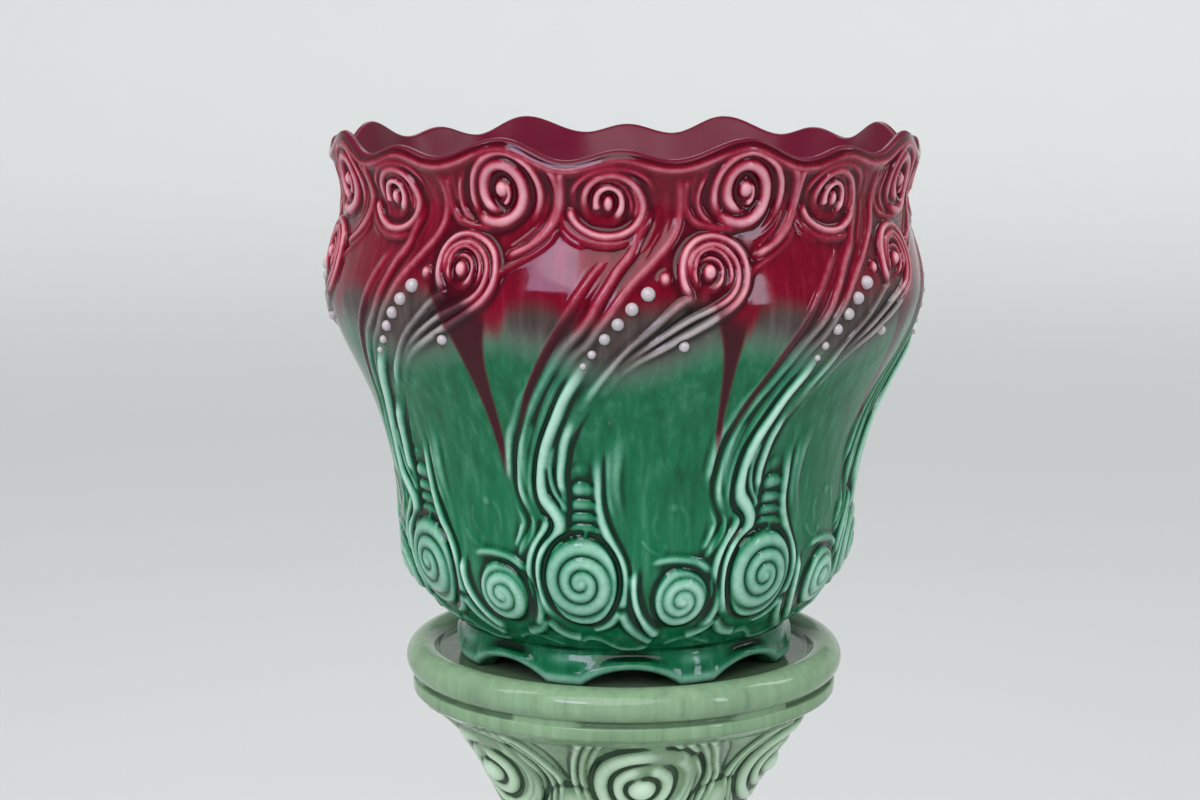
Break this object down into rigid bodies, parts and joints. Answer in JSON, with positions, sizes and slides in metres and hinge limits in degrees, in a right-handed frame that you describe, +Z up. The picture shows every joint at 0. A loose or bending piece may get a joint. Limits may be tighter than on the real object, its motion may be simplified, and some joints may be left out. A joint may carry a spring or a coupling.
{
  "type": "jardiniere on stand",
  "caption": "Glazed earthenware jardiniere with a wavy rim and scrolled relief, standing in the dish of its matching waisted pedestal.",
  "frame": {"origin": "centre of the stand's foot, on the floor", "axes": "+Z up along the axis of the ware; -Y is the side that faces the viewer in the picture"},
  "size_m": [0.35, 0.35, 0.935],
  "materials": {
    "crimson_glaze": "gloss, crimson running down into green",
    "green_glaze": "gloss, deep green in the hollows and mint on the ridges",
    "celadon_glaze": "gloss, pale yellow-green with brown-green in the hollows"
  },
  "bodies": {
    "pedestal": {"pedestal_dish": "celadon_glaze", "pedestal_shaft": "celadon_glaze", "pedestal_base": "celadon_glaze", "dish_bridges": "celadon_glaze", "shaft_cartouches": "celadon_glaze", "shaft_chevrons": "celadon_glaze", "shaft_swirls_outer": "celadon_glaze", "shaft_swirls_middle": "celadon_glaze", "shaft_swirls_inner": "celadon_glaze", "base_scrolls": "celadon_glaze", "base_buds": "celadon_glaze"},
    "jardiniere": {"bowl": "crimson_glaze", "bowl_foot": "green_glaze", "rim_scrolls_large": "crimson_glaze", "rim_scrolls_small": "crimson_glaze", "crest_scrolls": "crimson_glaze", "crest_tails": "green_glaze", "crest_veins": "green_glaze", "swirl_ribs_outer": "green_glaze", "swirl_ribs_inner": "green_glaze", "pearl_ridges": "green_glaze", "pearls": "crimson_glaze", "ladder_beads": "green_glaze", "panel_ribs": "green_glaze", "flank_ribs": "green_glaze", "heel_scrolls": "green_glaze", "bud_scrolls": "green_glaze"}
  },
  "joints": [
    {"name": "jardiniere_lift", "type": "slide", "parent": "pedestal", "child": "jardiniere", "axis": [0, 0, 1], "range_m": [0, 0.15]}
  ]
}
